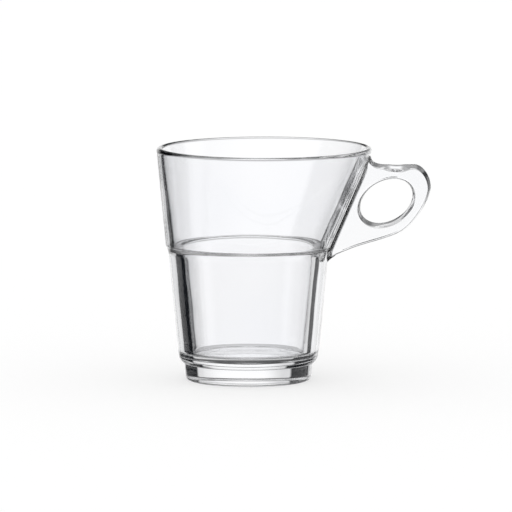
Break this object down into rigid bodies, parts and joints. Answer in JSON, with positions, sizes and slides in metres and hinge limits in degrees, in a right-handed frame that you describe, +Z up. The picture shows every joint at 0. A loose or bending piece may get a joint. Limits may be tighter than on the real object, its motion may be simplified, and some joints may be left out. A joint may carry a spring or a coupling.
{
  "type": "glass breakfast cup",
  "caption": "Clear pressed-glass cup with a straight lower bowl on a set-in foot, a flared upper bowl leaning toward an ear-shaped handle, and an inner ledge for stacking.",
  "frame": {"origin": "on the foot's axis at the table, where the cup stands", "axes": "+Z up along the foot's axis, +X toward the handle, +Y to the left of someone who looks along +X"},
  "size_m": [0.1093, 0.0856, 0.093],
  "materials": {
    "clear_glass": "smooth fire-polished clear glass, colourless"
  },
  "bodies": {
    "root": {"rim": "clear_glass", "upper_bowl": "clear_glass", "lower_bowl": "clear_glass", "base": "clear_glass", "foot": "clear_glass", "handle": "clear_glass"}
  },
  "joints": []
}
